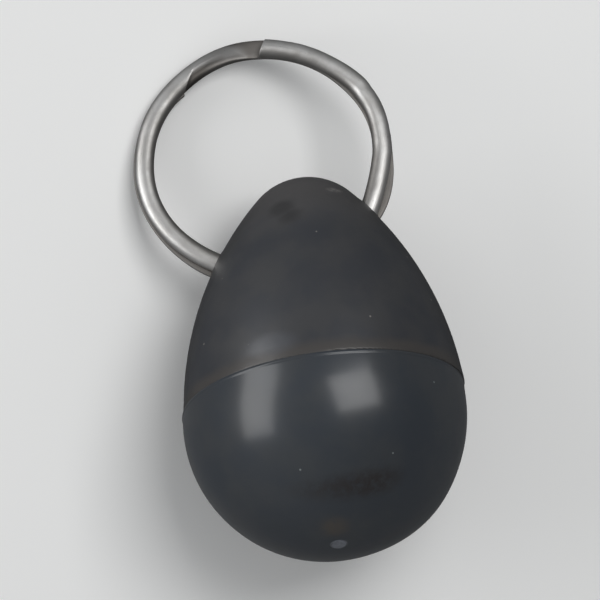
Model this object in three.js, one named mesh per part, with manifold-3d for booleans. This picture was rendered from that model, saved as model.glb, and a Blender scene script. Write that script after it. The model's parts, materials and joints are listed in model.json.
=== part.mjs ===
// Case opening friction ball: an egg of soft, tacky rubber that is pressed on a watch's screwed case back
// and turned by hand, with a split ring through its neck to hang it by.
//
// Millimetres. The tool lies at rest on a bench: +Z is up, +Y runs along the tool towards the ring, and the
// origin is on the bench under the middle of the tool's bounding box. Each piece is first made on the tool's
// own axis, which is +Y from the ball's pole at 0 to the ring, with the ring's plane level.

import * as THREE from 'three';
import { mergeVertices } from 'three/addons/utils/BufferGeometryUtils.js';
import Module from 'manifold-3d';

// Driving dimensions of the egg
const BALL_RADIUS = 27.5;
const TOOL_LENGTH = 76.4;
const TIP_RADIUS = 13.1;
const FLANK_RADIUS = 67.6;
const PARTING_HEIGHT = 32.3;
const PARTING_GAP = 0.3;
const NECK_STEP = 0.15;

// The stub of the ball's trimmed gate: a small flat disc, proud of the ball and tilted from its pole
const GATE_RADIUS = 1.5;
const GATE_PROUD = 0.1;
const GATE_DEPTH = 2;
const GATE_TILT = THREE.MathUtils.degToRad(12.3);

// Driving dimensions of the split ring: flattened wire wound in two layers
const RING_OUTER_RADIUS = 25.4;
const WIRE_WIDTH = 4.2;
const WIRE_THICKNESS = 2.0;
const LAYER_GAP = 0.2;
const RING_X = -6.8;
const RING_HEIGHT = 81.2;
const LOWER_END_ANGLE = 125.5;
const STEP_UP_START = 445;
const STEP_UP_END = 484;
const UPPER_END_ANGLE = 804;
const CHANNEL_CLEARANCE = 0.3;
const CHANNEL_CHAMFER = 0.9;

// Slope of the tool's axis where it balances on a bench, for rubber of 1.2 g/cm3 and a steel ring
const RESTING_SLOPE = THREE.MathUtils.degToRad(15.2);

// How finely round surfaces are cut into flats
const EGG_SIDES = 56;
const CHANNEL_SIDES = 72;
const GATE_SIDES = 24;
const WIRE_STEPS = 108;
const WIRE_CURVE_DIVISIONS = 6;
const ARC_STEP = THREE.MathUtils.degToRad(7);

// Worked out from the driving dimensions
const WIRE_RADIUS = RING_OUTER_RADIUS - WIRE_WIDTH / 2;
const LAYER_OFFSET = (WIRE_THICKNESS + LAYER_GAP) / 2;
const CHANNEL_HALF_WIDTH = WIRE_WIDTH / 2 + CHANNEL_CLEARANCE;
const CHANNEL_HALF_HEIGHT = LAYER_OFFSET + WIRE_THICKNESS / 2 + CHANNEL_CLEARANCE;

const rubberGlossy = new THREE.MeshStandardMaterial({ color: 0x33383d, roughness: 0.22, metalness: 0 });
const rubberSatin = new THREE.MeshStandardMaterial({ color: 0x3e3e42, roughness: 0.55, metalness: 0 });
const nickelSteel = new THREE.MeshStandardMaterial({ color: 0xb9b6b2, roughness: 0.25, metalness: 1 });

// The egg's outline is three arcs that touch: the ball, the long flank and the tip.
// Each arc has a centre [radius, height], its own radius, and the angles it starts and ends at.
function eggArcs() {
  const tipCentre = TOOL_LENGTH - TIP_RADIUS;
  const centresApart = tipCentre - BALL_RADIUS;
  const toBall = FLANK_RADIUS - BALL_RADIUS;
  const toTip = FLANK_RADIUS - TIP_RADIUS;
  const along = (toBall ** 2 - toTip ** 2 + centresApart ** 2) / (2 * centresApart);
  const inward = Math.sqrt(toBall ** 2 - along ** 2);
  const flankHeight = BALL_RADIUS + along;
  const ballJoin = Math.atan2(-along, inward);
  const tipJoin = Math.atan2(tipCentre - flankHeight, inward);
  return {
    ball: { centre: [0, BALL_RADIUS], radius: BALL_RADIUS, from: -Math.PI / 2, to: ballJoin },
    flank: { centre: [-inward, flankHeight], radius: FLANK_RADIUS, from: ballJoin, to: tipJoin },
    tip: { centre: [0, tipCentre], radius: TIP_RADIUS, from: tipJoin, to: Math.PI / 2 },
  };
}

function arcPoint(arc, angle, inset = 0) {
  const reach = arc.radius - inset;
  return new THREE.Vector2(
    arc.centre[0] + reach * Math.cos(angle),
    arc.centre[1] + reach * Math.sin(angle),
  );
}

// Points along an arc, both of its ends included.
function arcPoints(arc, from, to, inset = 0) {
  const turn = to - from;
  const steps = Math.max(2, Math.ceil((turn * arc.radius) / (ARC_STEP * BALL_RADIUS)));
  return Array.from({ length: steps + 1 }, (_, i) => arcPoint(arc, from + (turn * i) / steps, inset));
}

function angleAtHeight(arc, height, inset = 0) {
  return Math.asin((height - arc.centre[1]) / (arc.radius - inset));
}

// Turns an outline that starts and ends on the axis, listed upwards, into a solid of revolution about +Y.
function revolve(outline, sides) {
  const onAxis = outline.map((p) => new THREE.Vector2(Math.max(p.x, 0), p.y));
  return new THREE.LatheGeometry(onAxis, sides);
}

// Lower moulding: the ball up to the parting plane, before its gate is added.
function bareBallGeometry() {
  const { ball, flank } = eggArcs();
  const top = PARTING_HEIGHT - PARTING_GAP / 2;
  const lowSide = arcPoints(ball, ball.from, ball.to);
  const highSide = arcPoints(flank, flank.from, angleAtHeight(flank, top));
  return revolve([...lowSide, ...highSide.slice(1), new THREE.Vector2(0, top)], EGG_SIDES);
}

// The gate's disc, sunk into the ball. It is made at the pole and tilted about the ball's centre, which
// takes it up the side that the ring's plane faces.
function gateGeometry() {
  const disc = new THREE.CylinderGeometry(GATE_RADIUS, GATE_RADIUS, GATE_DEPTH, GATE_SIDES);
  disc.translate(0, GATE_DEPTH / 2 - GATE_PROUD - BALL_RADIUS, 0);
  return disc.rotateX(-GATE_TILT).translate(0, BALL_RADIUS, 0);
}

// Upper moulding: the neck, set in a little from the ball, before its channel is cut.
function neckBlankGeometry() {
  const { flank, tip } = eggArcs();
  const bottom = PARTING_HEIGHT + PARTING_GAP / 2;
  const side = arcPoints(flank, angleAtHeight(flank, bottom, NECK_STEP), flank.to, NECK_STEP);
  const crown = arcPoints(tip, tip.from, tip.to, NECK_STEP);
  return revolve([new THREE.Vector2(0, bottom), ...side, ...crown.slice(1)], EGG_SIDES);
}

// The curved channel that the ring fills and slides round in: a ring-shaped solid on the ring's own axis.
function channelGeometry() {
  const w = CHANNEL_HALF_WIDTH;
  const h = CHANNEL_HALF_HEIGHT;
  const c = CHANNEL_CHAMFER;
  const corners = [[w, c - h], [w, h - c], [w - c, h], [c - w, h], [-w, h - c], [-w, c - h], [c - w, -h], [w - c, -h]];
  const outline = [...corners, corners[0]].map(([x, y]) => new THREE.Vector2(WIRE_RADIUS + x, y));
  return new THREE.LatheGeometry(outline, CHANNEL_SIDES).rotateX(Math.PI / 2);
}

// The wire's centre line: almost two turns in the ring's plane, one in each layer,
// with an even step up from the lower layer to the upper one between the wire's two cut ends.
class SplitRingPath extends THREE.Curve {
  angleAt(t) {
    return THREE.MathUtils.lerp(LOWER_END_ANGLE, UPPER_END_ANGLE, t);
  }

  getPoint(t, target = new THREE.Vector3()) {
    const angle = this.angleAt(t);
    const up = THREE.MathUtils.smoothstep(angle, STEP_UP_START, STEP_UP_END);
    const turn = THREE.MathUtils.degToRad(angle);
    return target.set(WIRE_RADIUS * Math.cos(turn), WIRE_RADIUS * Math.sin(turn), LAYER_OFFSET * (2 * up - 1));
  }

  // The flattened wire stays flat in the ring's plane: its width is radial and its thickness is axial.
  computeFrenetFrames(segments) {
    const frames = { tangents: [], normals: [], binormals: [] };
    for (let i = 0; i <= segments; i += 1) {
      const turn = THREE.MathUtils.degToRad(this.angleAt(this.getUtoTmapping(i / segments)));
      frames.tangents.push(this.getTangentAt(i / segments));
      frames.normals.push(new THREE.Vector3(Math.cos(turn), Math.sin(turn), 0));
      frames.binormals.push(new THREE.Vector3(0, 0, -1));
    }
    return frames;
  }
}

function splitRingGeometry() {
  const section = new THREE.Shape();
  section.absellipse(0, 0, WIRE_WIDTH / 2, WIRE_THICKNESS / 2, 0, 2 * Math.PI, false);
  return new THREE.ExtrudeGeometry(section, {
    extrudePath: new SplitRingPath(),
    steps: WIRE_STEPS,
    curveSegments: WIRE_CURVE_DIVISIONS,
    bevelEnabled: false,
  });
}

function toSolid(wasm, geometry) {
  const bare = geometry.clone();
  bare.deleteAttribute('normal');
  bare.deleteAttribute('uv');
  const merged = mergeVertices(bare);
  return new wasm.Manifold(new wasm.Mesh({
    numProp: 3,
    vertProperties: merged.attributes.position.array,
    triVerts: new Uint32Array(merged.index.array),
  }));
}

function toGeometry(solid) {
  const { vertProperties, triVerts } = solid.getMesh();
  const geometry = new THREE.BufferGeometry();
  geometry.setAttribute('position', new THREE.BufferAttribute(vertProperties, 3));
  geometry.setIndex(new THREE.BufferAttribute(triVerts, 1));
  geometry.computeVertexNormals();
  return geometry;
}

// The tool lies on the flank of its neck, with its axis at the slope where it balances, and it has rolled
// about its axis until the ring's rim touches the bench as well. The roll that does this is found by halving.
function restingRoll() {
  const { flank } = eggArcs();
  const sine = Math.sin(RESTING_SLOPE);
  const cosine = Math.cos(RESTING_SLOPE);
  const neckDrop = flank.centre[0] * cosine + flank.centre[1] * sine + flank.radius - NECK_STEP;
  const ringDrop = (roll) => {
    const sideways = cosine * Math.sin(roll);
    const inPlane = Math.hypot(sideways, sine);
    const acrossPlane = cosine * Math.cos(roll);
    const rimReach = RING_X * sideways + RING_HEIGHT * sine + WIRE_RADIUS * inPlane;
    return rimReach + LAYER_OFFSET * acrossPlane + Math.hypot(WIRE_WIDTH * inPlane, WIRE_THICKNESS * acrossPlane) / 2;
  };
  let raised = -Math.PI / 2;
  let clear = 0;
  while (clear - raised > 1e-9) {
    const middle = (raised + clear) / 2;
    if (ringDrop(middle) < neckDrop) clear = middle;
    else raised = middle;
  }
  return clear;
}

function namedMesh(name, geometry, material) {
  const mesh = new THREE.Mesh(geometry, material);
  mesh.name = name;
  return mesh;
}

const wasm = await Module();
wasm.setup();

const ball = toSolid(wasm, bareBallGeometry()).add(toSolid(wasm, gateGeometry()));
const channel = channelGeometry().translate(RING_X, RING_HEIGHT, 0);
const neck = toSolid(wasm, neckBlankGeometry()).subtract(toSolid(wasm, channel));

const ring = namedMesh('split_ring', splitRingGeometry(), nickelSteel);
ring.position.set(RING_X, RING_HEIGHT, 0);

// The tool on its own axis, +Y from the ball's pole to the ring, then laid down.
const tool = new THREE.Group();
tool.add(namedMesh('friction_ball', toGeometry(ball), rubberGlossy));
tool.add(namedMesh('grip_neck', toGeometry(neck), rubberSatin));
tool.add(ring);
tool.rotation.set(-RESTING_SLOPE, restingRoll(), 0);

const onBench = new THREE.Group();
onBench.add(tool);
const box = new THREE.Box3().setFromObject(onBench, true);
const middle = box.getCenter(new THREE.Vector3());
tool.position.set(-middle.x, -middle.y, -box.min.z);

export default onBench;
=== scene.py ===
"""The looks of a case opening friction ball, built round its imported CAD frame.

The tool lies on a pale bench, as it comes to rest. Every piece is made in the tool's own frame, in
metres: +Y runs along the tool from the ball's pole at 0 to the ring, the ring's plane is z = 0, and +Z
is the side that the upper layer of its wire faces. The frame's record says how that frame lies on the
bench. Angles along the ring's wire are in degrees about the ring's axis.
"""

import functools
import json
import math

import bpy
import numpy as np
from mathutils import Matrix, Vector


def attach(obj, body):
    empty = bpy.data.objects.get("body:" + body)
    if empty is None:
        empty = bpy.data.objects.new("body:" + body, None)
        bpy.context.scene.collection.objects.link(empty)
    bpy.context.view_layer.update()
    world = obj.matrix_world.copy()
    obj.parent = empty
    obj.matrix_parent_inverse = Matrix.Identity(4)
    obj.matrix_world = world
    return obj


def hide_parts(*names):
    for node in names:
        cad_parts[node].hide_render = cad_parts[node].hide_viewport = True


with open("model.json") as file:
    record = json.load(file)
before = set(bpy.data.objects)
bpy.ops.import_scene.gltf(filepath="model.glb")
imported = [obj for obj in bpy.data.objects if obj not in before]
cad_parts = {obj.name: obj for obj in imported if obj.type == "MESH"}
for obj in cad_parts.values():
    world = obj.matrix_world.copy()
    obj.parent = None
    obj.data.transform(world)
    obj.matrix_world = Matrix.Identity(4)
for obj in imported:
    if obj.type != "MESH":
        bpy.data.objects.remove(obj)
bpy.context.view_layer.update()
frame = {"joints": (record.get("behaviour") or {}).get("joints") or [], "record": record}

MM = 0.001

# Driving dimensions of the egg, as the CAD has them
BALL_RADIUS = 27.5 * MM
TOOL_LENGTH = 76.4 * MM
TIP_RADIUS = 13.1 * MM
FLANK_RADIUS = 67.6 * MM
PARTING_HEIGHT = 32.3 * MM
GATE_RADIUS = 1.5 * MM
GATE_PROUD = 0.1 * MM
GATE_TILT = math.radians(12.3)

# Driving dimensions of the split ring, as the CAD has them
RING_OUTER_RADIUS = 25.4 * MM
WIRE_WIDTH = 4.2 * MM
RING_CENTRE = Vector((-6.8, 81.2, 0)) * MM
LOWER_END_ANGLE = 125.5
STEP_UP_START = 445
STEP_UP_END = 484
UPPER_END_ANGLE = 804

# How far below the CAD's plane the two mouldings meet on the axis, and how that joint slopes
JOINT_DROP = -1.1 * MM
JOINT_SLOPE_ACROSS = 0.030
JOINT_SLOPE_BESIDE = 0.042

# How far all the rubber's skin is set back, so that its waves and bead stay inside the CAD's box
SKIN_SETBACK = 0.07 * MM

# Worked out from the driving dimensions
TIP_CENTRE = TOOL_LENGTH - TIP_RADIUS
WIRE_RADIUS = RING_OUTER_RADIUS - WIRE_WIDTH / 2


# ----------------------------------------------------------------------------------------------------
# Frames and shapes that several pieces share


def tool_frame():
    """The matrix from the tool's own frame to the row frame, from the ring's joint and hanging point."""
    ring_turn = frame["joints"][0]
    hanging_point = next(m for m in frame["record"]["mounts"] if m["name"] == "hanging_point")
    along = Vector(hanging_point["axis"]).normalized()
    across = along.cross(Vector(ring_turn["axis"])).normalized()
    rotation = Matrix((across, along, across.cross(along))).transposed()
    origin = Vector(ring_turn["pos_m"]) - rotation @ RING_CENTRE
    return Matrix.Translation(origin) @ rotation.to_4x4()


TOOL = tool_frame()


def smoothstep(t):
    t = np.clip(t, 0, 1)
    return t * t * (3 - 2 * t)


def hump(t):
    """A rounded bump: 1 at t = 0, and 0 from t = 1 outwards on both sides."""
    return np.cos(np.clip(t, -1, 1) * math.pi / 2) ** 2


def smooth_max(a, b, rounding):
    """The larger of two distances, with the edge between them rounded over that width."""
    near = np.clip(rounding - np.abs(a - b), 0, None)
    return np.maximum(a, b) + near**2 / (4 * rounding)


def egg_distance(across, along):
    """Distance out from the egg's outline, negative inside.

    The outline is three arcs that touch: ball, flank and tip.
    """
    centres_apart = TIP_CENTRE - BALL_RADIUS
    to_ball = FLANK_RADIUS - BALL_RADIUS
    to_tip = FLANK_RADIUS - TIP_RADIUS
    drop = (to_ball**2 - to_tip**2 + centres_apart**2) / (2 * centres_apart)
    inward = math.sqrt(to_ball**2 - drop**2)
    height = BALL_RADIUS + drop
    bearing = np.arctan2(along - height, across + inward)
    ball = np.hypot(across, along - BALL_RADIUS) - BALL_RADIUS
    painted_flank_shade = np.hypot(across + inward, along - height) - FLANK_RADIUS
    tip = np.hypot(across, along - TIP_CENTRE) - TIP_RADIUS
    below_flank = bearing < math.atan2(-drop, inward)
    above_flank = bearing > math.atan2(TIP_CENTRE - height, inward)
    return np.where(below_flank, ball, np.where(above_flank, tip, painted_flank_shade))


def joint_height(across, beside):
    """How far along the tool the two mouldings meet, over a place on its X and Z."""
    return PARTING_HEIGHT + JOINT_DROP + JOINT_SLOPE_ACROSS * across + JOINT_SLOPE_BESIDE * beside


def mesh_object(name, points, faces, material):
    """A smooth-shaded piece from points in the tool's frame. Its mesh is in the row frame."""
    mesh = bpy.data.meshes.new(name)
    mesh.from_pydata([tuple(p) for p in points], [], [tuple(int(i) for i in f) for f in faces])
    mesh.transform(TOOL)
    mesh.validate()
    mesh.polygons.foreach_set("use_smooth", np.ones(len(mesh.polygons), bool))
    mesh.materials.append(material)
    piece = bpy.data.objects.new(name, mesh)
    bpy.context.scene.collection.objects.link(piece)
    return piece


def skin_faces(ring_count, ring_size):
    """Faces of a closed skin over rings of points, with a fan to one more point at each end."""
    i, j = np.meshgrid(np.arange(ring_count - 1), np.arange(ring_size), indexing="ij")
    following = (j + 1) % ring_size
    corners = [i * ring_size + j, i * ring_size + following,
               (i + 1) * ring_size + following, (i + 1) * ring_size + j]
    quads = np.stack(corners, -1).reshape(-1, 4)
    start, end = ring_count * ring_size, ring_count * ring_size + 1
    last = (ring_count - 1) * ring_size
    round_it = [(k, (k + 1) % ring_size) for k in range(ring_size)]
    start_fan = [(b, a, start) for a, b in round_it]
    end_fan = [(last + a, last + b, end) for a, b in round_it]
    return [*quads, *start_fan, *end_fan]


# ----------------------------------------------------------------------------------------------------
# Materials. Colours are in linear light; places and lengths in the shaders are in millimetres.


class Nodes:
    """Short ways to add shader nodes to one material or world."""

    def __init__(self, owner):
        owner.use_nodes = True
        self.tree = owner.node_tree
        self.tree.nodes.clear()

    def add(self, kind, inputs=None, **settings):
        node = self.tree.nodes.new(kind)
        for key, value in settings.items():
            setattr(node, key, value)
        for key, value in (inputs or {}).items():
            if isinstance(value, bpy.types.NodeSocket):
                self.tree.links.new(value, node.inputs[key])
            else:
                node.inputs[key].default_value = value
        return node

    def place(self):
        """Where a point is on the tool, in its own frame."""
        coordinates = self.add("ShaderNodeTexCoord").outputs["Object"]
        into_tool = {"Vector": coordinates, "Location": TOOL.translation,
                     "Rotation": TOOL.to_euler(), "Scale": (MM,) * 3}
        return self.add("ShaderNodeMapping", into_tool, vector_type="TEXTURE").outputs[0]

    def axis(self, place, index):
        return self.add("ShaderNodeSeparateXYZ", {0: place}).outputs[index]

    def math(self, operation, a, b=0.0):
        return self.add("ShaderNodeMath", {0: a, 1: b}, operation=operation).outputs[0]

    def plus(self, a, b):
        return self.math("ADD", a, b)

    def times(self, a, b):
        return self.math("MULTIPLY", a, b)

    def larger(self, a, b):
        return self.math("MAXIMUM", a, b)

    def vector(self, operation, a, b, output="Vector"):
        return self.add("ShaderNodeVectorMath", {0: a, 1: b}, operation=operation).outputs[output]

    def blend(self, factor, a, b):
        """Colour a where factor is 0, b where it is 1."""
        node = self.add("ShaderNodeMix", data_type="RGBA")
        for name, value in (("Factor", factor), ("A", a), ("B", b)):
            named = (s for s in node.inputs if s.name == name and s.type != "VECTOR")
            socket = next(s for s in named if s.enabled)
            if isinstance(value, bpy.types.NodeSocket):
                self.tree.links.new(value, socket)
            else:
                socket.default_value = value
        return next(s for s in node.outputs if s.enabled)

    def ramp(self, value, low, high, to_low=0.0, to_high=1.0):
        """value mapped smoothly from low..high to to_low..to_high."""
        inputs = {"Value": value, "From Min": low, "From Max": high,
                  "To Min": to_low, "To Max": to_high}
        node = self.add("ShaderNodeMapRange", inputs, interpolation_type="SMOOTHSTEP")
        return node.outputs["Result"]

    def noise(self, place, scale, detail=3.0, roughness=0.55, distortion=0.0, output="Fac"):
        """Noise from 0 to 1, with that many features to the millimetre."""
        inputs = {"Vector": place, "Scale": scale, "Detail": detail,
                  "Roughness": roughness, "Distortion": distortion}
        return self.add("ShaderNodeTexNoise", inputs).outputs[output]

    def spot(self, place, centre, radius, soft):
        """1 within radius of a place on the tool, falling to 0 over the soft distance."""
        distance = self.vector("DISTANCE", place, centre, "Value")
        return self.ramp(distance, radius, radius + soft, 1.0, 0.0)

    def oval(self, place, centre, stretch, radius, soft):
        """A spot that is measured with its distances along each axis multiplied by stretch."""
        stretched_centre = tuple(c * s for c, s in zip(centre, stretch))
        return self.spot(self.vector("MULTIPLY", place, stretch), stretched_centre, radius, soft)

    def specks(self, place, spacing, size, share):
        """Scattered dots of dust: one in that share of the cells of that spacing."""
        settings = {"Vector": place, "Scale": 1 / spacing, "Randomness": 1.0}
        cells = self.add("ShaderNodeTexVoronoi", settings)
        dot = self.ramp(cells.outputs["Distance"], size / spacing * 0.5, size / spacing, 1.0, 0.0)
        chosen = self.add("ShaderNodeSeparateColor", {"Color": cells.outputs["Color"]}).outputs[0]
        return self.times(dot, self.math("LESS_THAN", chosen, share))

    def crumbs(self, place, centres):
        """Bits of lint at those places on the tool."""
        dots = [self.spot(place, centre, CRUMB_RADIUS, CRUMB_SOFT) for centre in centres]
        return functools.reduce(self.larger, dots)

    def bump(self, height, strength, distance, normal=None):
        inputs = {"Height": height, "Strength": strength, "Distance": distance}
        if normal is not None:
            inputs["Normal"] = normal
        return self.add("ShaderNodeBump", inputs).outputs[0]

    def finish(self, **inputs):
        names = {k.replace("_", " "): v for k, v in inputs.items()}
        shader = self.add("ShaderNodeBsdfPrincipled", names)
        self.add("ShaderNodeOutputMaterial", {"Surface": shader.outputs[0]})


# Where the plainest bits of lint stick to the rubber, and their size
BALL_LINT = ((21.2, 27.2, 17.5), (12.0, 13.2, 20.2), (26.6, 30.4, 6.7), (-5.7, 11.4, 21.5),
             (-14.2, 20.1, -18.6))
NECK_LINT = ((-16.4, 52.3, 15.2), (1.9, 59.2, 18.9), (10.4, 39.4, 24.1), (-8.4, 56.8, 18.5),
             (22.4, 46.0, 10.1), (18.7, 55.3, 9.4), (-10.2, 64.8, 11.7), (-9.9, 65.9, 11.0),
             (-21.6, 40.5, 13.9))
CRUMB_RADIUS = 0.12
CRUMB_SOFT = 0.14

BALL_DARK = (0.0265, 0.0320, 0.0400, 1)
BALL_LIGHT = (0.0335, 0.0375, 0.0425, 1)
BALL_DUST = (0.16, 0.18, 0.18, 1)
SMUDGE_BROWN = (0.0175, 0.0145, 0.0145, 1)
STAIN_BROWN = (0.052, 0.045, 0.039, 1)
GATE_MARK_PALE = (0.150, 0.160, 0.185, 1)

NECK_BLUISH = (0.0265, 0.0290, 0.0350, 1)
NECK_GREY = (0.0350, 0.0360, 0.0390, 1)
NECK_DUST = (0.19, 0.18, 0.17, 1)
BAND_BROWN = (0.0440, 0.0405, 0.0385, 1)
# Painted light for the neck's tip
TIP_LIT_GREY = (0.0560, 0.0540, 0.0550, 1)
# Painted shade for the neck's flanks
FLANK_SHADE_DARK = (0.0100, 0.0100, 0.0110, 1)
BLOT_DARK = (0.0190, 0.0190, 0.0200, 1)
# A painted highlight near the neck's tip
TIP_HIGHLIGHT_PALE = (0.130, 0.125, 0.120, 1)
# A painted highlight on the rubbed place
RUB_HIGHLIGHT_PALE = (0.080, 0.085, 0.098, 1)
SMOOTHEST_NECK = 0.30

STEEL_DULL = (0.46, 0.45, 0.435, 1)
STEEL_BRIGHT = (0.57, 0.565, 0.555, 1)
# Painted shade for the pressed step
STEP_SHADE_GREY = (0.20, 0.195, 0.19, 1)
# A painted shadow on the ring's inner side
SHADOW_WEDGE_BLACK = (0.010, 0.010, 0.010, 1)
# Grime, and painted shade on the ring's inner side, between its layers and below
GRIME_AND_SHADE_BROWN = (0.13, 0.120, 0.110, 1)


def ball_rubber():
    """Glossy, tacky, bluish charcoal rubber with wiped smudges, lint and a pale mark on the gate.

    A thin sharp gloss lies over a softer one, as on rubber that sweats plasticiser.
    """
    material = bpy.data.materials.new("ball_rubber")
    n = Nodes(material)
    place = n.place()
    colour = n.blend(n.ramp(n.noise(place, 0.09, 4.0), 0.35, 0.65), BALL_DARK, BALL_LIGHT)
    wiped_edge = n.ramp(n.noise(place, 0.6, 4.0, 0.65), 0.3, 0.62, 0.35, 1.0)
    smudge = n.times(n.oval(place, (4.19, 8.78, 17.8), (0.31, 1.15, 1), 0.9, 3.8), wiped_edge)
    colour = n.blend(smudge, colour, SMUDGE_BROWN)
    patchy = n.ramp(n.noise(place, 0.35, 2.0), 0.2, 0.6)
    stain = n.times(n.spot(place, (-0.3, 2.6, 11.2), 0.7, 3.4), patchy)
    colour = n.blend(stain, colour, STAIN_BROWN)
    # A pale mark on the gate, broken up by grain; it is rougher, and stands up in the bump
    grainy = n.ramp(n.noise(place, 2.0), 0.2, 0.7, 0.6, 1.0)
    pale_gate_mark = n.times(n.spot(place, (0.2, 0.55, 5.9), 1.15, 0.75), grainy)
    colour = n.blend(pale_gate_mark, colour, GATE_MARK_PALE)
    lint = n.larger(n.specks(place, 5.0, 0.17, 0.3), n.crumbs(place, BALL_LINT))
    colour = n.blend(lint, colour, BALL_DUST)
    roughness = n.ramp(n.noise(place, 0.16, 3.0, 0.5), 0.3, 0.75, 0.29, 0.36)
    roughness = n.plus(roughness, n.times(smudge, 0.16))
    roughness = n.plus(roughness, n.times(pale_gate_mark, 0.3))
    pores = n.bump(n.noise(place, 1.2, 1.0, 0.5), 0.02, 0.02 * MM)
    normal = n.bump(n.plus(lint, pale_gate_mark), 0.35, 0.04 * MM, pores)
    n.finish(Base_Color=colour, Roughness=roughness, Specular_IOR_Level=0.25, IOR=1.5, Normal=normal,
             Coat_Weight=0.55, Coat_Roughness=0.19, Coat_IOR=1.5, Coat_Normal=normal)
    return material


def neck_colour(n, place, from_joint, lint, rubbed_gloss_and_highlight, blot):
    """The neck's charcoal, browner just above the joint, with painted light making it paler at the tip,
    painted shade on both flanks, a painted highlight near the tip and a pale painted highlight on the
    rubbed place.
    """
    colour = n.blend(n.ramp(n.noise(place, 0.11, 4.0), 0.35, 0.65), NECK_BLUISH, NECK_GREY)
    colour = n.blend(n.ramp(from_joint, 1.6, 4.2, 1.0, 0.0), colour, BAND_BROWN)
    # Painted light: the neck paler towards its tip
    colour = n.blend(n.ramp(from_joint, 26.8, 40.8), colour, TIP_LIT_GREY)
    # Painted shade: the neck darker on both flanks, fading out towards the tip
    beside = n.plus(n.math("ABSOLUTE", n.axis(place, 2)), n.times(n.noise(place, 0.12, 3.0), 5.0))
    painted_flank_shade = n.times(n.ramp(beside, 5.0, 17.0, 0.85, 0.0), n.ramp(from_joint, 34.8, 42.8, 1.0, 0.0))
    colour = n.blend(painted_flank_shade, colour, FLANK_SHADE_DARK)
    colour = n.blend(n.times(blot, 0.75), colour, BLOT_DARK)
    # A painted highlight: a pale streak near the tip, broken up by noise
    streaky = n.ramp(n.noise(place, 1.6), 0.35, 0.6)
    painted_tip_highlight = n.times(n.oval(place, (6.3, 70.5, 9.2), (1, 2.6, 1), 0.6, 1.8), streaky)
    colour = n.blend(painted_tip_highlight, colour, TIP_HIGHLIGHT_PALE)
    colour = n.blend(lint, colour, NECK_DUST)
    # A painted highlight: the rubbed place is painted pale, as well as made smoother
    return n.blend(n.times(rubbed_gloss_and_highlight, 0.35), colour, RUB_HIGHLIGHT_PALE)


def neck_roughness(n, place, from_joint, rubbed_gloss_and_highlight, blot):
    """The neck's satin, smoother towards the joint, where it is handled, and where it is rubbed."""
    roughness = n.ramp(n.noise(place, 0.14, 5.0, 0.6, 0.4), 0.3, 0.75, 0.40, 0.48)
    handled = n.ramp(from_joint, 3, 9, 1.0, 0.0)
    roughness = n.math("SUBTRACT", roughness, n.times(handled, 0.09))
    roughness = n.plus(roughness, n.times(n.ramp(from_joint, 1.6, 4.2, 1.0, 0.0), 0.03))
    roughness = n.math("SUBTRACT", roughness, n.times(rubbed_gloss_and_highlight, 0.14))
    roughness = n.larger(roughness, SMOOTHEST_NECK)
    return n.plus(roughness, n.times(blot, 0.12))


def neck_rubber():
    """Satin, neutral charcoal rubber with a fine moulded grain, lint, a dark blot, and a smoother rubbed
    place with a painted highlight on it; painted light and shade lie on its tip and flanks.
    """
    material = bpy.data.materials.new("neck_rubber")
    n = Nodes(material)
    place = n.place()
    square_to_joint = (-JOINT_SLOPE_ACROSS, 1, -JOINT_SLOPE_BESIDE)
    along = n.vector("DOT_PRODUCT", place, square_to_joint, "Value")
    ragged = n.plus(along, n.times(n.noise(place, 0.3, 2.0), 1.4))
    from_joint = n.math("SUBTRACT", ragged, (PARTING_HEIGHT + JOINT_DROP) / MM)
    frayed = n.vector("ADD", place, n.noise(place, 0.45, output="Color"))
    upper_blot = n.spot(frayed, (-3.9, 67.0, 14.0), 1.0, 2.8)
    blot = n.larger(upper_blot, n.spot(frayed, (-2.2, 63.8, 15.2), 1.0, 2.6))
    lint = n.larger(n.specks(place, 4.6, 0.18, 0.35), n.crumbs(place, NECK_LINT))
    # The rubbed place: smoother, and painted pale as a highlight
    rubbed_gloss_and_highlight = n.oval(place, (-8.6, 35.4, 25.4), (0.8, 1.6, 0.8), 2.0, 3.2)
    colour = neck_colour(n, place, from_joint, lint, rubbed_gloss_and_highlight, blot)
    roughness = neck_roughness(n, place, from_joint, rubbed_gloss_and_highlight, blot)
    grain = n.bump(n.noise(place, 5.0, 5.0, 0.65), 0.12, 0.02 * MM)
    waves = n.bump(n.noise(place, 0.5, 2.0), 0.10, 0.10 * MM, grain)
    normal = n.bump(lint, 0.4, 0.05 * MM, waves)
    n.finish(Base_Color=colour, Roughness=roughness, Specular_IOR_Level=0.5, IOR=1.5, Normal=normal)
    return material


def ring_grime_and_shade(n, place, from_centre):
    """How grimy and shaded the ring is: painted shade on its inner side, between its layers and below, and
    grime in patches.
    """
    # Painted shade on the inner side, between the layers and below; only the patches are grime
    inner = n.plus(from_centre, n.times(n.noise(place, 0.35, 3.0), 1.2))
    inner = n.ramp(inner, 22.4, 24.0, 0.65, 0.0)
    height = n.axis(place, 2)
    between_layers = n.ramp(n.math("ABSOLUTE", height), 0.12, 0.55, 0.85, 0.0)
    below = n.ramp(height, -0.9, 0.2, 0.25, 0.0)
    patches = n.ramp(n.noise(place, 0.9, 4.0, 0.7), 0.60, 0.8, 0.0, 0.5)
    return n.larger(n.larger(inner, patches), n.larger(between_layers, below))


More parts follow.
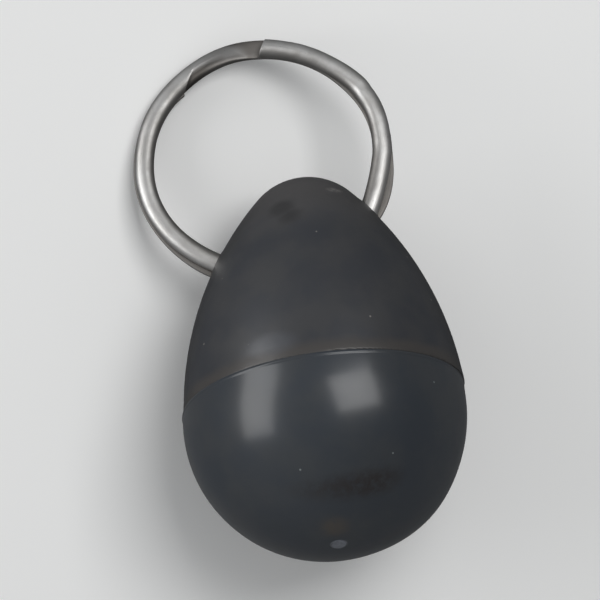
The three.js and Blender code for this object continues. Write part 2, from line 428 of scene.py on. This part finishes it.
def ring_colour(n, place, wire, from_centre, grime_and_shade):
    """Tarnished nickel, with painted shade on the pressed step up to its slanted crease and a painted
    shadow wedge on its inner side before the crease, and grime and painted shade over it.
    """
    colour = n.blend(n.ramp(n.noise(place, 0.22, 4.0, 0.6), 0.3, 0.7), STEEL_DULL, STEEL_BRIGHT)
    slanted = n.plus(n.axis(wire, 0), n.times(from_centre, CREASE_SLANT))
    crease = (math.radians(CREASE_ANGLE) + CREASE_SLANT) * WIRE_RADIUS + CREASE_SLANT * CREASE_ACROSS
    past_crease = n.math("SUBTRACT", slanted, crease / MM)
    outer_side = n.ramp(from_centre, 22.6, 24.0)
    inner_side = n.math("SUBTRACT", 1.0, outer_side)
    # Painted shade on the pressed step: darker up to the crease, ending sharply on the wire's inner side
    # and fading on its outer side
    ends_sharply = n.times(n.ramp(past_crease, -0.3, 0.1, 1.0, 0.0), inner_side)
    fades = n.times(n.ramp(past_crease, -7.0, 3.0, 1.0, 0.0), outer_side)
    pressed = n.times(n.plus(ends_sharply, fades), n.ramp(past_crease, -19.0, -9.0))
    colour = n.blend(n.times(pressed, 0.6), colour, STEP_SHADE_GREY)
    # A painted shadow: a black wedge on the wire's inner side just before the crease
    painted_shadow_wedge = n.times(n.ramp(from_centre, 22.2, 23.8, 1.0, 0.0), n.ramp(past_crease, -10.0, -3.0))
    colour = n.blend(n.times(painted_shadow_wedge, pressed), colour, SHADOW_WEDGE_BLACK)
    # Grime in patches, and painted shade on the inner side, between the layers and below
    return n.blend(grime_and_shade, colour, GRIME_AND_SHADE_BROWN)


def ring_steel():
    """Nickel-plated spring steel with drawing lines along the wire and fine scratches."""
    material = bpy.data.materials.new("ring_steel")
    n = Nodes(material)
    place = n.place()
    wire = n.add("ShaderNodeUVMap", uv_map="WireLength").outputs[0]
    lines = n.noise(n.vector("MULTIPLY", wire, (0.15, 3.2, 1)), 1.0, 5.0, 0.7)
    fine = n.noise(n.vector("MULTIPLY", wire, (1.6, 9.0, 1)), 1.0, 3.0, 0.7)
    from_centre = n.vector("DISTANCE", place, RING_CENTRE / MM, "Value")
    grime_and_shade = ring_grime_and_shade(n, place, from_centre)
    colour = ring_colour(n, place, wire, from_centre, grime_and_shade)
    roughness = n.ramp(lines, 0.25, 0.75, 0.32, 0.43)
    roughness = n.plus(roughness, n.times(grime_and_shade, 0.12))
    roughness = n.plus(roughness, n.times(n.noise(place, 1.3, 4.0, 0.7), 0.12))
    drawn = n.bump(lines, 0.7, 0.03 * MM)
    normal = n.bump(fine, 0.6, 0.018 * MM, drawn)
    n.finish(Base_Color=colour, Metallic=1.0, Roughness=roughness, Normal=normal)
    return material


def bench_paint():
    """The plain pale floor."""
    material = bpy.data.materials.new("bench_paint")
    n = Nodes(material)
    n.finish(Base_Color=(0.97, 0.97, 0.96, 1), Roughness=0.85, Specular_IOR_Level=0.2)
    return material


# ----------------------------------------------------------------------------------------------------
# The ball: the lower moulding, up to the joint

BALL_SIDES = 288
GATE_RINGS = 5
GATE_STEP_RINGS = 12
WIDE_RINGS = 84
RIM_RINGS = 60
WIDE_RINGS_END = math.radians(92)
RIM_RINGS_START = math.radians(92.6)
GATE_REACH = 0.2
GATE_STEP_WIDTH = 0.2 * MM
RIM_BEAD_HEIGHT = 0.10 * MM
RIM_BEAD_WIDTH = 0.85 * MM
RIM_ROUNDING = 0.05 * MM
WAVE_HEIGHT = 0.022 * MM

# How far in from the rim the rings over the joint lie, and how far below it
JOINT_RINGS = ((0.4 * RIM_ROUNDING, 0.1 * RIM_ROUNDING), (RIM_ROUNDING, 0), (3 * MM, 0), (14 * MM, 0))

# Where the soft ball is out of round: direction, reach in radians, and height
DENTS = (((0.96, -0.25, 0.1), 0.65, -0.32 * MM), ((0.62, -0.78, 0.0), 0.6, 0.30 * MM))

BALL_CENTRE = np.array((0, BALL_RADIUS, 0))
GATE_AXIS = np.array((0, -math.cos(GATE_TILT), math.sin(GATE_TILT)))


def ball_relief(points):
    """How far the ball's skin stands out from the egg's outline: its rim's bead, waves and dents."""
    below_rim = joint_height(points[..., 0], points[..., 2]) - points[..., 1]
    bead = RIM_BEAD_HEIGHT * hump(below_rim / (RIM_BEAD_WIDTH / 2) - 1)
    x, y, z = (points[..., k] / BALL_RADIUS for k in range(3))
    broad_waves = np.sin(3.1 * x + 4.3 * y + 0.4) * np.sin(3.7 * z + 1.9 * x)
    waves = WAVE_HEIGHT * (broad_waves + 0.6 * np.sin(6.1 * y - 4.7 * x + 5.2 * z))
    out = (points - BALL_CENTRE) / BALL_RADIUS
    dents = 0
    for towards, reach, height in DENTS:
        dents = dents + height * hump(np.arccos((out @ towards).clip(-1, 1)) / reach)
    return bead + waves + dents - SKIN_SETBACK


def gate_share(points):
    """1 on the gate's flat disc and 0 round it, with a smooth step between, at points on the ball."""
    off_axis = np.linalg.norm(np.cross(points - BALL_CENTRE, GATE_AXIS), axis=-1)
    return 1 - smoothstep((off_axis - GATE_RADIUS) / GATE_STEP_WIDTH + 0.5)


def ball_directions(turn):
    """Directions from the ball's centre to rings of points from the gate to the rim, and their angles.

    The rings' axis swings from the gate's to the tool's on the way.
    """
    gate_edge = GATE_RADIUS / BALL_RADIUS
    on_gate = np.linspace(0.15, 0.85, GATE_RINGS) * gate_edge
    gate_step = np.linspace(0.9, 1.12, GATE_STEP_RINGS) * gate_edge
    wide = np.linspace(1.25 * gate_edge, WIDE_RINGS_END, WIDE_RINGS)
    below_rim = np.concatenate([on_gate, gate_step, wide])[:, None] + 0 * turn
    rim_height = joint_height(BALL_RADIUS * np.sin(turn), BALL_RADIUS * np.cos(turn))
    rim_angle = np.arccos(-(rim_height - BALL_RADIUS) / BALL_RADIUS)
    to_rim = np.linspace(0, 1, RIM_RINGS)[:, None]
    polar = np.concatenate([below_rim, RIM_RINGS_START * (1 - to_rim) + rim_angle * to_rim])
    tilt = GATE_TILT * (1 - smoothstep((polar - 0.15) / 1.2))
    across, along, beside = np.sin(polar) * np.sin(turn), -np.cos(polar), np.sin(polar) * np.cos(turn)
    leaning = [across,
               along * np.cos(tilt) + beside * np.sin(tilt),
               beside * np.cos(tilt) - along * np.sin(tilt)]
    return np.stack(leaning, -1), polar


def joint_rings(rim, turn):
    """Rings of points from the ball's rim in over the flat joint."""
    sides = np.stack([np.sin(turn[0]), np.zeros(BALL_SIDES), np.cos(turn[0])], -1)
    rim_radius = np.hypot(rim[:, 0], rim[:, 2])
    rings = []
    for back, down in JOINT_RINGS:
        closer = sides * (rim_radius - back)[:, None]
        closer[:, 1] = joint_height(closer[:, 0], closer[:, 2]) - down
        rings.append(closer)
    return rings


def make_ball(material):
    turn = np.linspace(0, 2 * math.pi, BALL_SIDES, endpoint=False)[None, :]
    directions, polar = ball_directions(turn)
    reach = np.full(polar.shape, BALL_RADIUS)
    for _ in range(6):
        points = BALL_CENTRE + reach[..., None] * directions
        outside = egg_distance(np.hypot(points[..., 0], points[..., 2]), points[..., 1])
        reach -= outside - ball_relief(points)
    flat = (BALL_RADIUS + GATE_PROUD) / (directions @ GATE_AXIS).clip(0.5)
    share = gate_share(points) * (polar < GATE_REACH)
    reach = reach * (1 - share) + flat * share
    points = BALL_CENTRE + reach[..., None] * directions
    rim = points[-1]
    rim[:, 1] = joint_height(rim[:, 0], rim[:, 2]) - 0.4 * RIM_ROUNDING
    points = np.concatenate([points, np.stack(joint_rings(rim, turn))])
    start = BALL_CENTRE + GATE_AXIS * (BALL_RADIUS + GATE_PROUD)
    end = np.array((0, joint_height(0, 0), 0))
    everything = np.concatenate([points.reshape(-1, 3), [start, end]])
    return mesh_object("ball", everything, skin_faces(len(points), BALL_SIDES), material)


# ----------------------------------------------------------------------------------------------------
# The neck: the upper moulding, with the curved channel that the ring runs in

NECK_CELL = 0.37 * MM
NECK_INSET = 0.08 * MM
NECK_SHIFT = 0.20 * MM
BAND_WIDTH = 2.8 * MM
EDGE_ROUNDING = 0.25 * MM
JOINT_SINK = 0.12 * MM
MOUTH_CLEARANCE = 0.03 * MM
INNER_CLEARANCE = 0.6 * MM
MOUTH_DEPTH = 3.0 * MM
LIP_ROUNDING = 0.8 * MM
LIP_HEIGHT = 0.25 * MM
LIP_WIDTH = 1.3 * MM
SECTION_CORNER = 1.8 * MM
GRID_MARGIN = 1.0 * MM
SLOPE_STEP = 0.01 * MM


def ring_distance(x, y, z):
    """Distance out from the ring's two layers taken as one bar of a square section with large corners."""
    from_centre = np.hypot(x - RING_CENTRE.x, y - RING_CENTRE.y)
    sideways = np.abs(from_centre - WIRE_RADIUS) - (WIRE_WIDTH / 2 - SECTION_CORNER)
    upward = np.abs(z) - (WIRE_WIDTH / 2 - SECTION_CORNER)
    outside = np.hypot(np.clip(sideways, 0, None), np.clip(upward, 0, None))
    return outside + np.minimum(np.maximum(sideways, upward), 0) - SECTION_CORNER


def neck_field(x, y, z):
    """Distance out from the neck's skin, negative inside the rubber.

    The neck's axis lies NECK_SHIFT beside the ball's, and a lip stands up round each of the ring's mouths.
    """
    depth = egg_distance(np.hypot(x - NECK_SHIFT, z), y)
    ring = ring_distance(x, y, z)
    joint = joint_height(x, z)
    flare = smoothstep((y - joint) / BAND_WIDTH)
    lip = LIP_HEIGHT * np.exp(-((ring / LIP_WIDTH) ** 2))
    skin = depth + SKIN_SETBACK + NECK_INSET * flare - lip
    body = smooth_max(skin, joint - JOINT_SINK - y, EDGE_ROUNDING)
    inside_mouth = smoothstep(-depth / MOUTH_DEPTH - 0.3)
    clearance = MOUTH_CLEARANCE + (INNER_CLEARANCE - MOUTH_CLEARANCE) * inside_mouth
    return smooth_max(body, clearance - ring, LIP_ROUNDING)


def field_slope(field, points):
    """The field's gradient at points."""
    sides = []
    for axis in range(3):
        offset = np.zeros(3)
        offset[axis] = SLOPE_STEP
        ahead, behind = points + offset, points - offset
        sides.append((field(*ahead.T) - field(*behind.T)) / (2 * SLOPE_STEP))
    return np.stack(sides, -1)


def cells_round(corner, axis, back_u, back_v):
    """The grid cells on one side of grid edges that run along an axis from those corners."""
    cells = corner.copy()
    cells[:, (axis + 1) % 3] -= back_u
    cells[:, (axis + 2) % 3] -= back_v
    return tuple(cells.T)


def crossed_edges(value, axis):
    """Grid edges along an axis that the surface crosses: corners, crossing places, which start inside."""
    inside = value < 0
    first = [slice(None)] * 3
    second = [slice(None)] * 3
    first[axis], second[axis] = slice(None, -1), slice(1, None)
    first, second = tuple(first), tuple(second)
    corner = np.argwhere(inside[first] != inside[second])
    a = value[first][tuple(corner.T)]
    b = value[second][tuple(corner.T)]
    place = corner.astype(float)
    place[:, axis] += a / (a - b)
    return corner, place, inside[first][tuple(corner.T)]


def surface_net(field, low, high, cell):
    """Points and quads of the surface where the field is zero, with one point in each cell it crosses."""
    counts = np.ceil((np.array(high) - low) / cell).astype(int) + 1
    lines = [low[k] + cell * np.arange(counts[k]) for k in range(3)]
    x, y, z = np.meshgrid(*lines, indexing="ij", sparse=True)
    value = np.broadcast_to(field(x, y, z), counts)
    edges = [crossed_edges(value, axis) for axis in range(3)]
    total = np.zeros((*(counts - 1), 3))
    crossings = np.zeros(counts - 1, int)
    for axis, (corner, place, _) in enumerate(edges):
        for back_u, back_v in ((0, 0), (0, 1), (1, 0), (1, 1)):
            cells = cells_round(corner, axis, back_u, back_v)
            np.add.at(total, cells, place)
            np.add.at(crossings, cells, 1)
    used = np.argwhere(crossings > 0)
    points = np.array(low) + cell * total[tuple(used.T)] / crossings[tuple(used.T)][:, None]
    number = np.full(counts - 1, -1)
    number[tuple(used.T)] = np.arange(len(used))
    quads = []
    for axis, (corner, _, starts_inside) in enumerate(edges):
        around = ((1, 1), (0, 1), (0, 0), (1, 0))
        loops = np.stack([number[cells_round(corner, axis, *back)] for back in around], -1)
        loops[~starts_inside] = loops[~starts_inside][:, ::-1]
        quads.append(loops)
    return points, np.concatenate(quads)


def make_neck(material):
    """The field's surface, with its points drawn onto it and its shading taken from the field's slope."""
    lowest = joint_height(-BALL_RADIUS, -BALL_RADIUS)
    low = np.array((-BALL_RADIUS, lowest, -BALL_RADIUS)) - GRID_MARGIN
    high = np.array((BALL_RADIUS, TOOL_LENGTH, BALL_RADIUS)) + GRID_MARGIN
    points, quads = surface_net(neck_field, low, high, NECK_CELL)
    for _ in range(4):
        slope = field_slope(neck_field, points)
        steepness = (slope**2).sum(-1).clip(0.05)
        move = -(neck_field(*points.T) / steepness)[:, None] * slope
        points = points + move.clip(-0.3 * NECK_CELL, 0.3 * NECK_CELL)
    normals = field_slope(neck_field, points)
    normals /= np.linalg.norm(normals, axis=1)[:, None]
    neck = mesh_object("neck", points, quads, material)
    turned = normals @ np.array(TOOL.to_3x3()).T
    neck.data.normals_split_custom_set_from_vertices([tuple(v) for v in turned])
    return neck


# ----------------------------------------------------------------------------------------------------
# The split ring: one wire in two layers, slightly out of round and kinked from use

RING_STEPS = 1100
SECTION_POINTS = 36
STRAND_WIDTH = 3.8 * MM
STRAND_MIDDLE = 1.05 * MM
SMALLEST_RADIUS = 0.3 * MM
LAYER_TOUCH = 0.02 * MM
LAYER_FULL = 2.0 * MM
LAYER_WIDEST = 0.38 * MM
ROUND_POWER = 2.25
FLAT_POWER = 4.5
END_BEVEL = 0.12 * MM
BEVEL_STEPS = 4
LOWER_CUT_SLANT = 0.8
UPPER_CUT_SLANT = 0.36
SLANT_FADE = 14.0
UPPER_TILT = -8

# Bends in both layers: angle, reach to each side in degrees, and how far out the wire stands, in mm
LOWER_BENDS = ((20, 24, 0.25), (126, 34, -0.35), (129, 12, -0.35), (195, 40, 0.50), (240, 40, 0.60),
               (-26, 26, 0.52))
UPPER_BENDS = ((27, 30, 0.75), (72, 16, -0.15), (126, 34, -0.40), (195, 32, 0.30), (240, 30, -0.25),
               (-18, 25, -0.58))

# Kinks in the wire: angle along it, over how many degrees it rises and fades, and its twist in degrees
KINKS = ((751, 60, 4, -8), (752, 2.5, 34, 9), (718.5, 6, 9, 6), (788, 6, 10, 5), (462, 14, 26, -8),
         (358.7, 10, 12, 8))

# The slanted crease at the end of the pressed step, on the wire's inner side: its angle at a place
# across the wire, its slant, its depth there, its width in degrees, and how it fades across the wire
CREASE_ANGLE = 483.6
CREASE_ACROSS = -0.6 * MM
CREASE_SLANT = 2.0
CREASE_DEPTH = 0.32 * MM
CREASE_WIDTH = 0.9
CREASE_FADE = 0.8 * MM


def bends_at(angle, bends):
    off = np.zeros_like(angle)
    for middle, reach, height in bends:
        away = (angle - middle + 180) % 360 - 180
        off += height * MM * hump(away / reach)
    return off


def out_of_round(angle, level):
    return bends_at(angle, LOWER_BENDS) * (1 - level) + bends_at(angle, UPPER_BENDS) * level


def crease_share(angle, sideways):
    """How deeply the press marked the wire, as a share: it grows along the step, up to the crease."""
    ends_at = CREASE_ANGLE + np.degrees(CREASE_SLANT * (CREASE_ACROSS - sideways) / WIRE_RADIUS)
    pressed = 1 - smoothstep((angle - ends_at) / CREASE_WIDTH + 0.5)
    growing = smoothstep((angle - STEP_UP_START) / (CREASE_ANGLE - STEP_UP_START))
    inner_side = 1 - smoothstep((sideways - CREASE_ACROSS) / CREASE_FADE)
    return pressed * growing * inner_side


def wire_twist(angle):
    """How far the wire is twisted about its own line, in radians. The upper layer is slightly dished."""
    stepped = smoothstep((angle - STEP_UP_START) / (STEP_UP_END - STEP_UP_START))
    twist = math.radians(UPPER_TILT) * stepped
    for middle, rise, fade, degrees in KINKS:
        rising = smoothstep((angle - middle) / rise + 1)
        fading = hump((angle - middle) / fade)
        twist += math.radians(degrees) * np.where(angle >= middle, fading, rising)
    return twist


def wire_section(level, turn):
    """Points round the wire's section: offsets out from the ring's axis and up from its middle plane.

    level is 0 in the lower layer and 1 in the upper one. Each layer is rounder on its outer face.
    """
    out = np.cos(turn)
    up = np.sin(turn)
    above = FLAT_POWER + (ROUND_POWER - FLAT_POWER) * level
    below = ROUND_POWER + (FLAT_POWER - ROUND_POWER) * level
    power = 2 / np.where(up > 0, above, below)
    tall = LAYER_FULL - LAYER_WIDEST
    short = LAYER_WIDEST - LAYER_TOUCH
    height = np.where(up > 0, short + (tall - short) * level, tall + (short - tall) * level)
    sideways = STRAND_WIDTH / 2 * np.sign(out) * np.abs(out) ** power
    upward = np.sign(up) * height * np.abs(up) ** power + LAYER_WIDEST * (2 * level - 1)
    return sideways, upward


def ring_stations():
    """Angles of the sections along the wire, and how far each is worn in by the bevel at either end."""
    bevel = math.degrees(END_BEVEL / WIRE_RADIUS)
    between = np.linspace(LOWER_END_ANGLE + bevel, UPPER_END_ANGLE - bevel, RING_STEPS)
    curl = np.linspace(0, math.pi / 2, BEVEL_STEPS, endpoint=False)
    rise = bevel * (1 - np.sin(curl))
    start = LOWER_END_ANGLE + bevel - rise
    end = (UPPER_END_ANGLE - bevel + rise)[::-1]
    worn = END_BEVEL * (1 - np.sin(curl))
    angle = np.concatenate([start, between, end])
    shrink = np.concatenate([worn, np.zeros(RING_STEPS), worn[::-1]])
    return angle[:, None], shrink[:, None]


def cut_lag(angle, sideways):
    """How many degrees later a point lies, because both ends of the wire are cut on the slant."""
    from_end = np.minimum(angle - LOWER_END_ANGLE, UPPER_END_ANGLE - angle)
    slant = np.where(angle < STEP_UP_START, LOWER_CUT_SLANT, UPPER_CUT_SLANT)
    slant = slant * (1 - smoothstep(from_end / SLANT_FADE))
    return np.degrees(slant * (STRAND_WIDTH / 2 - sideways) / WIRE_RADIUS)


def wire_points(angle, shrink, turn):
    """Rings of points round the wire, one ring for each angle."""
    level = smoothstep((angle - STEP_UP_START) / (STEP_UP_END - STEP_UP_START))
    sideways, upward = wire_section(level, turn + 0 * angle)
    top = np.clip(np.sin(turn), 0, 1) ** 0.5
    middle_height = STRAND_MIDDLE * (2 * level - 1)
    upward = upward - CREASE_DEPTH * crease_share(angle, sideways) * top - middle_height
    kept = 1 - shrink / np.hypot(sideways, upward).clip(SMALLEST_RADIUS)
    sideways, upward = sideways * kept, upward * kept
    twist = wire_twist(angle)
    sideways, upward = (sideways * np.cos(twist) - upward * np.sin(twist),
                        sideways * np.sin(twist) + upward * np.cos(twist))
    bearing = angle + cut_lag(angle, sideways)
    radius = WIRE_RADIUS + out_of_round(bearing, level) + sideways
    bearing = np.radians(bearing)
    return np.stack([RING_CENTRE.x + radius * np.cos(bearing),
                     RING_CENTRE.y + radius * np.sin(bearing),
                     upward + middle_height], -1)


def unwrap_wire(ring, angle, turn):
    """UVs in millimetres: along the wire, and round its section."""
    along = np.repeat(np.radians(angle[:, 0]) * WIRE_RADIUS / MM, SECTION_POINTS)
    around = np.tile(turn[0] * WIRE_WIDTH / 2 / MM, len(angle))
    caps = [[along[0], 0], [along[-1], 0]]
    unwrapped = np.concatenate([np.stack([along, around], -1), caps])
    layer = ring.data.uv_layers.new(name="WireLength")
    corners = np.empty(len(ring.data.loops), int)
    ring.data.loops.foreach_get("vertex_index", corners)
    layer.data.foreach_set("uv", unwrapped[corners].ravel())


def make_ring(material):
    angle, shrink = ring_stations()
    turn = np.linspace(0, 2 * math.pi, SECTION_POINTS, endpoint=False)[None, :]
    points = wire_points(angle, shrink, turn)
    caps = [points[0].mean(0), points[-1].mean(0)]
    everything = np.concatenate([points.reshape(-1, 3), caps])
    faces = [f[::-1] for f in skin_faces(len(points), SECTION_POINTS)]
    ring = mesh_object("ring", everything, faces, material)
    unwrap_wire(ring, angle, turn)
    return ring


# ----------------------------------------------------------------------------------------------------
# Stage: camera, floor and soft studio light

CAMERA_AIM = Vector((-2.541, 52.012, 0)) * MM
CAMERA_DISTANCE = 1.1603
CAMERA_TILT = math.radians(18.43)
CAMERA_ROLL = math.radians(-5.78)
CAMERA_LENS = 360
CAMERA_SENSOR = 36
FLOOR_RADIUS = 6.0
FLOOR_SIDES = 64
WORLD_TINT = (0.96, 0.98, 1.0, 1)


def make_camera():
    """A long lens over the ring's plane, tilted from straight above it towards the ball's pole."""
    data = bpy.data.cameras.new("camera")
    data.lens = CAMERA_LENS
    data.sensor_width = CAMERA_SENSOR
    data.clip_start = 0.05
    data.clip_end = 50
    camera = bpy.data.objects.new("camera", data)
    bpy.context.scene.collection.objects.link(camera)
    turned = Matrix.Rotation(CAMERA_TILT, 4, "X") @ Matrix.Rotation(CAMERA_ROLL, 4, "Z")
    aimed = TOOL @ Matrix.Translation(CAMERA_AIM) @ turned
    camera.matrix_world = aimed @ Matrix.Translation((0, 0, CAMERA_DISTANCE))
    bpy.context.scene.camera = camera


def make_floor():
    """A round sheet at the bench's height, whose glossy reflection the pieces don't show."""
    angles = np.linspace(0, 2 * math.pi, FLOOR_SIDES, endpoint=False)
    rim = [(FLOOR_RADIUS * math.cos(a), FLOOR_RADIUS * math.sin(a), 0) for a in angles]
    mesh = bpy.data.meshes.new("floor")
    mesh.from_pydata(rim, [], [tuple(range(len(rim)))])
    mesh.materials.append(bench_paint())
    floor = bpy.data.objects.new("floor", mesh)
    floor.visible_glossy = False
    bpy.context.scene.collection.objects.link(floor)


def make_softbox(name, towards, distance, width, height, spin, radiance):
    """A rectangular softbox that faces the ball. towards is the direction to it in the row frame."""
    data = bpy.data.lights.new(name, "AREA")
    data.shape = "RECTANGLE"
    data.size, data.size_y = width, height
    data.energy = radiance * math.pi * width * height
    light = bpy.data.objects.new(name, data)
    light.visible_camera = False
    direction = Vector(towards).normalized()
    ball = TOOL @ Vector((0, BALL_RADIUS, 0))
    facing = direction.to_track_quat("Z", "Y").to_matrix().to_4x4()
    standing = Matrix.Translation(ball + distance * direction) @ facing
    light.matrix_world = standing @ Matrix.Rotation(math.radians(spin), 4, "Z")
    bpy.context.scene.collection.objects.link(light)


def make_world():
    """A dim studio, lighter on the left and above, that fades towards what lies below the bench."""
    world = bpy.data.worlds.new("studio")
    n = Nodes(world)
    direction = n.add("ShaderNodeTexCoord").outputs["Generated"]
    upward = n.ramp(n.axis(direction, 2), -0.9, 0.2, 0.12, 0.30)
    strength = n.times(upward, n.ramp(n.axis(direction, 0), -1.0, 1.0, 1.35, 0.60))
    background = n.add("ShaderNodeBackground", {"Color": WORLD_TINT, "Strength": strength})
    n.add("ShaderNodeOutputWorld", {"Surface": background.outputs[0]})
    bpy.context.scene.world = world


make_camera()
make_floor()
make_world()
make_softbox("left_softbox", towards=(-0.950, 0.208, 0.235), distance=1.8,
             width=1.68, height=0.92, spin=6, radiance=3.35)
make_softbox("right_softbox", towards=(0.080, 0.345, 0.935), distance=0.7,
             width=0.44, height=0.37, spin=26, radiance=4.2)
bpy.context.scene.view_settings.view_transform = "Standard"

ball = make_ball(ball_rubber())
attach(ball, "rubber_egg")
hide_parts("friction_ball")

neck = make_neck(neck_rubber())
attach(neck, "rubber_egg")
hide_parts("grip_neck")

ring = make_ring(ring_steel())
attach(ring, "ring")
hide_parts("split_ring")
